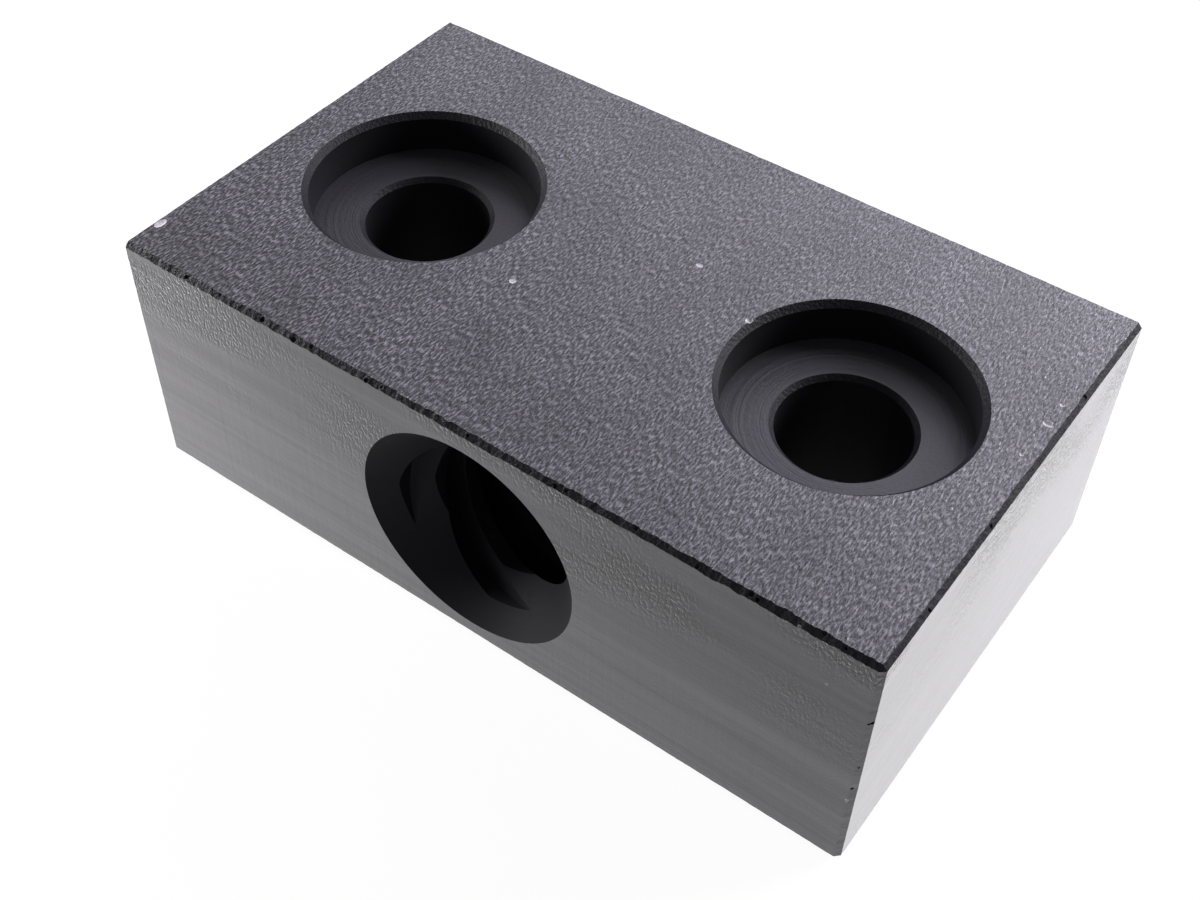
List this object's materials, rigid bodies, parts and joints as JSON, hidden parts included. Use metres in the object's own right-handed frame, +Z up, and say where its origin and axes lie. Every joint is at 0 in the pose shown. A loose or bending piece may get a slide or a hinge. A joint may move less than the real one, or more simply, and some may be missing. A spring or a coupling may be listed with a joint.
{
  "type": "machined mounting block",
  "caption": "Rectangular machined block with counterbored bolt holes down through it and a threaded lead-screw bore across its width.",
  "frame": {"origin": "middle of the bottom face", "axes": "+X along the block's length, +Y along the lead-screw bore from the front face to the back, +Z up out of the face with the counterbores"},
  "size_m": [0.034, 0.02, 0.012],
  "materials": {
    "black_acetal": "milled and turned black acetal, matt with fine tool marks"
  },
  "bodies": {
    "root": {"mounting_block": "black_acetal"}
  },
  "joints": []
}
